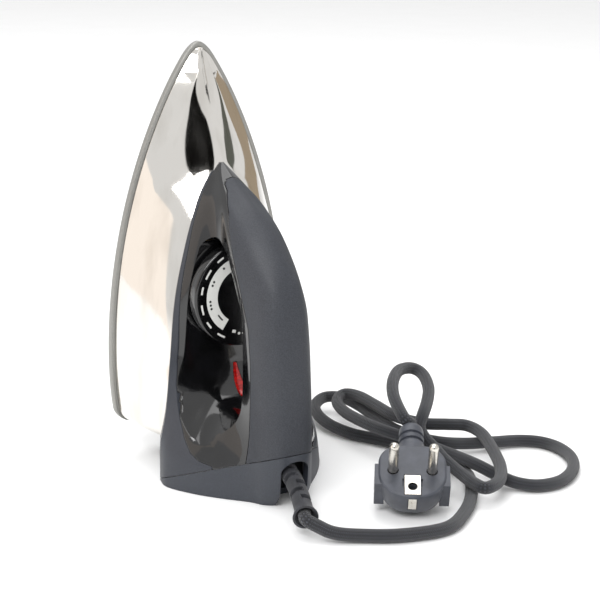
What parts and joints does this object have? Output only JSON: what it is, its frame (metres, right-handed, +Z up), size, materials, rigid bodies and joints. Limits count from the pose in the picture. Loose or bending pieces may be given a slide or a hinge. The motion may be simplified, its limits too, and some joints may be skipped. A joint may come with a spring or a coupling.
{
  "type": "dry clothes iron",
  "caption": "Dry clothes iron standing on its heel: pointed soleplate, polished cover, black body with closed handle, thermostat dial, pilot light and corded angled plug.",
  "frame": {"origin": "on the table, under the middle of the iron's own box, cord and plug left out", "axes": "+Z up, from the heel rest to the tip; +Y out of the soleplate's working face; -Y towards the handle; -X the iron's left side"},
  "size_m": [0.2163, 0.1736, 0.217],
  "materials": {
    "sole_aluminium": "matt machined cast aluminium",
    "cover_polished": "mirror-polished steel sheet",
    "body_satin": "satin moulded phenolic",
    "saddle_gloss": "glossy moulded thermoset",
    "grip_textured": "fine spark-eroded texture",
    "dial_gloss": "glossy moulded, printed scale",
    "lens_red": "clear red polycarbonate",
    "element_steel": "heat-tinted steel sheath",
    "zinc": "zinc-plated steel",
    "terminal_nickel": "nickel-plated steel",
    "plate_steel": "black enamelled steel",
    "stack_ceramic": "unglazed steatite",
    "bimetal": "rolled bimetal",
    "copper": "copper alloy spring strip",
    "spindle_brass": "turned brass",
    "lamp_glass": "clear lamp glass",
    "clamp_plastic": "moulded polyamide",
    "wire_brown": "silicone insulation",
    "wire_blue": "silicone insulation",
    "wire_green": "silicone insulation",
    "relief_rubber": "matt moulded rubber",
    "cord_braid": "braided textile over rubber flex",
    "plug_rubber": "satin moulded rubber",
    "plug_nickel": "nickel-plated brass"
  },
  "bodies": {
    "iron": {"soleplate": "sole_aluminium", "cover": "cover_polished", "body_shell": "body_satin", "heel_cap": "body_satin", "saddle_panel": "saddle_gloss", "grip_cover": "grip_textured", "pilot_lens": "lens_red", "heating_element": "element_steel", "stud_front": "zinc", "stud_rear": "zinc", "nut_front": "zinc", "nut_rear": "zinc", "terminal_screw_1": "zinc", "terminal_screw_2": "zinc", "terminal_screw_3": "zinc", "clamp_screw_left": "zinc", "clamp_screw_right": "zinc", "heel_screw": "zinc", "thermostat_bracket": "zinc", "element_terminal_left": "terminal_nickel", "element_terminal_right": "terminal_nickel", "pressure_plate": "plate_steel", "thermostat_stack": "stack_ceramic", "thermostat_spacer": "stack_ceramic", "terminal_block": "stack_ceramic", "bimetal_strip": "bimetal", "contact_blade": "copper", "contact_rivet": "copper", "neon_lamp": "lamp_glass", "cord_clamp": "clamp_plastic", "wire_live": "wire_brown", "wire_neutral": "wire_blue", "wire_earth": "wire_green", "strain_relief": "relief_rubber", "cord": "cord_braid", "plug_body": "plug_rubber", "plug_pin_left": "plug_nickel", "plug_pin_right": "plug_nickel", "plug_earth_plate": "plug_nickel", "plug_earth_clip": "plug_nickel"},
    "dial": {"dial": "dial_gloss", "dial_spindle": "spindle_brass"}
  },
  "joints": [
    {"name": "dial_turn", "type": "hinge", "parent": "iron", "child": "dial", "pos_m": [0, 0.0087, 0.095], "axis": [0, -1, 0], "range_deg": [-30, 260]}
  ]
}
